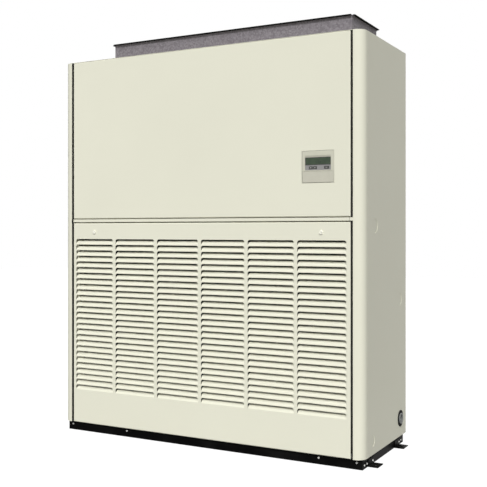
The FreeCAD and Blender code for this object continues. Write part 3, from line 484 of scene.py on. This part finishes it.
def ring(bm, low, high, border, y_front, y_back):
    """Flat rectangular ring in the front plane, inside the given corners."""
    loops = []
    for inset, y in ((0, y_back), (0, y_front), (border, y_front), (border, y_back)):
        x0, x1, z0, z1 = low.x + inset, high.x - inset, low.z + inset, high.z - inset
        loops.append([bm.verts.new(c) for c in ((x0, y, z0), (x1, y, z0), (x1, y, z1), (x0, y, z1))])
    for inner, outer in zip(loops, loops[1:] + loops[:1]):
        for k in range(4):
            n = (k + 1) % 4
            bm.faces.new((inner[k], inner[n], outer[n], outer[k]))


bm = bmesh.new()
window_border, frame_proud = 2.4 * MM, 0.4 * MM
ring(bm, window_low, window_high, window_border, window_low.y - frame_proud, window_low.y - skin)
piece("window_frame", finished(bm, "window_frame", False), "key_plastic", "cabinet")

# Seven bar figures: each bar is named by its place, and a digit lists the bars that show
bars_of = {2: "top high_right middle low_left base", 6: "top high_left middle low_left low_right base"}
digit_width, digit_height, bar_width, digit_gap = 7 * MM, 15 * MM, 1.4 * MM, 4 * MM
digits_share, bar_trim_share = 0.42, 0.6


def bar_places(x, z):
    """Centre, length and direction of every bar of a digit at its lower left corner."""
    half = digit_height / 2
    across = [(name, (x + digit_width / 2, z + level), digit_width, True)
              for name, level in (("base", 0), ("middle", half), ("top", digit_height))]
    upright = [(level_name + hand, (x + shift, z + level), half, False)
               for hand, shift in (("_left", 0), ("_right", digit_width))
               for level_name, level in (("low", half / 2), ("high", half * 1.5))]
    return across + upright


bm = bmesh.new()
digits_x = window_low.x + (window_high.x - window_low.x) * digits_share
digits_z = (window_low.z + window_high.z - digit_height) / 2
for index, digit in enumerate((2, 6)):
    corner_x = digits_x + index * (digit_width + digit_gap)
    for name, (x, z), length, level in bar_places(corner_x, digits_z):
        if name in bars_of[digit].split():
            half, thin = length / 2 - bar_width * bar_trim_share, bar_width / 2
            upper = [(-half, 0), (thin - half, thin), (half - thin, thin)]
            section = upper + [(-a, -b) for a, b in upper]
            along, up = (X, Z) if level else (Z, X)
            prism(bm, section, Vector((x, window_low.y - skin, z)), -Y * skin, along, up)
piece("window_figures", finished(bm, "window_figures", False), "display", "cabinet", lcd_ink)

mark_print = plastic("mark_print", linear(176, 176, 172), 0.5)
mark_half, arrow_foot = 2.6 * MM, 1.82 * MM
bar_mark_width, bar_mark_height, bar_mark_radius = 7.8 * MM, 1.56 * MM, 0.65 * MM
for key, section in (
    ("temp_down_key", [(-mark_half, arrow_foot), (mark_half, arrow_foot), (0, -mark_half)]),
    ("temp_up_key", [(-mark_half, -arrow_foot), (0, mark_half), (mark_half, -arrow_foot)]),
    ("power_key", rounded(bar_mark_width, bar_mark_height, bar_mark_radius)),
):
    low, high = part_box(key)
    bm = bmesh.new()
    prism(bm, section, Vector(((low.x + high.x) / 2, low.y, (low.z + high.z) / 2)), -Y * skin, X, Z)
    piece(key + "_mark", finished(bm, key + "_mark", False), "strip_plastic", key, mark_print)

flap_low, flap_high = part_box("remote_flap")
flap_edge, lip_height, lip_proud = 5 * MM, 2.2 * MM, 1.0 * MM
lip_shares = [(0, 0), (1, 0.3), (1, 0.85), (0.7, 1), (0, 1)]
bm = bmesh.new()
lip_section = [(a * lip_proud, b * lip_height) for a, b in lip_shares]
lip_start = Vector((flap_low.x + flap_edge, flap_low.y, flap_high.z - lip_height - skin))
prism(bm, lip_section, lip_start, X * (flap_high.x - flap_low.x - 2 * flap_edge), -Y, Z)
piece("flap_lip", finished(bm, "flap_lip", False), "remote_plastic", "remote_flap")

# Camera fitted to the photograph: level, to the right of the front, looking along the horizon
IMAGE_SIDE = 487
horizon_row = 230.58
lens_in_pixels = 838.556
sensor = 36.0
camera_turn = math.radians(28.357)
camera_side, camera_back, camera_level = 1.76667, 2.89777, 0.84128
camera_data = bpy.data.cameras.new("camera")
camera_data.sensor_width = sensor
camera_data.lens = lens_in_pixels / IMAGE_SIDE * sensor
camera_data.shift_y = (horizon_row - IMAGE_SIDE / 2) / IMAGE_SIDE
camera = bpy.data.objects.new("camera", camera_data)
bpy.context.scene.collection.objects.link(camera)
camera.location = (camera_side, front - camera_back, base_high.z + camera_level)
camera.rotation_euler = (math.pi / 2, 0, camera_turn)
bpy.context.scene.camera = camera


# Floor and world are white to the camera and in reflections, and light the object as a plain soft fill
def seen(tree):
    """Socket that is 1 where the camera looks, straight or through glass or off a glossy surface."""
    path = tree.nodes.new("ShaderNodeLightPath")
    found = path.outputs["Is Camera Ray"]
    for ray in ("Is Transmission Ray", "Is Glossy Ray"):
        either = tree.nodes.new("ShaderNodeMath")
        either.operation = "MAXIMUM"
        tree.links.new(found, either.inputs[0])
        tree.links.new(path.outputs[ray], either.inputs[1])
        found = either.outputs["Value"]
    return found


def levels(tree, low, high):
    """Strength that is high where the surface is seen, and low where it only lights."""
    node = tree.nodes.new("ShaderNodeMapRange")
    node.inputs["To Min"].default_value = low
    node.inputs["To Max"].default_value = high
    tree.links.new(seen(tree), node.inputs["Value"])
    return node.outputs["Result"]


floor_half = 12.0
floor_grey = 0.25
floor_glow = 0.84
floor_mesh = bpy.data.meshes.new("floor")
corners = [(x * floor_half, y * floor_half, 0) for x, y in ((-1, -1), (1, -1), (1, 1), (-1, 1))]
floor_mesh.from_pydata(corners, [], [(0, 1, 2, 3)])
floor = bpy.data.objects.new("floor", floor_mesh)
bpy.context.scene.collection.objects.link(floor)
floor_material = bpy.data.materials.new("floor_white")
floor_material.use_nodes = True
tree = floor_material.node_tree
tree.nodes.clear()
paint = tree.nodes.new("ShaderNodeBsdfDiffuse")
paint.inputs["Color"].default_value = (floor_grey, floor_grey, floor_grey, 1.0)
glow = tree.nodes.new("ShaderNodeEmission")
both = tree.nodes.new("ShaderNodeAddShader")
surface_out = tree.nodes.new("ShaderNodeOutputMaterial")
tree.links.new(levels(tree, 0.0, floor_glow), glow.inputs["Strength"])
tree.links.new(paint.outputs["BSDF"], both.inputs[0])
tree.links.new(glow.outputs["Emission"], both.inputs[1])
tree.links.new(both.outputs["Shader"], surface_out.inputs["Surface"])
floor_mesh.materials.append(floor_material)

fill_light = 0.15
world = bpy.data.worlds.new("studio")
bpy.context.scene.world = world
world.use_nodes = True
tree = world.node_tree
tree.nodes.clear()
background = tree.nodes.new("ShaderNodeBackground")
background.inputs["Color"].default_value = (1.0, 1.0, 1.0, 1.0)
world_out = tree.nodes.new("ShaderNodeOutputWorld")
tree.links.new(levels(tree, fill_light, 1.0), background.inputs["Strength"])
tree.links.new(background.outputs["Background"], world_out.inputs["Surface"])

# Distant soft lamps, placed by degrees: azimuth from the front towards the right, and elevation
lamps = {
    "key": {"azimuth": 23, "elevation": 36, "strength": 2.68, "softness": 15},
    "high": {"azimuth": 23, "elevation": 60, "strength": 0.72, "softness": 15},
    "low": {"azimuth": 12, "elevation": 8, "strength": 0.2, "softness": 10},
    "back": {"azimuth": 205, "elevation": 38, "strength": 1.1, "softness": 40},
}
for name, values in lamps.items():
    data = bpy.data.lights.new(name, "SUN")
    data.energy = values["strength"]
    data.angle = math.radians(values["softness"])
    lamp = bpy.data.objects.new(name, data)
    bpy.context.scene.collection.objects.link(lamp)
    a, e = math.radians(values["azimuth"]), math.radians(values["elevation"])
    towards = Vector((math.sin(a) * math.cos(e), -math.cos(a) * math.cos(e), math.sin(e)))
    lamp.rotation_euler = towards.to_track_quat("Z", "Y").to_euler()

bpy.context.scene.view_settings.view_transform = "Standard"
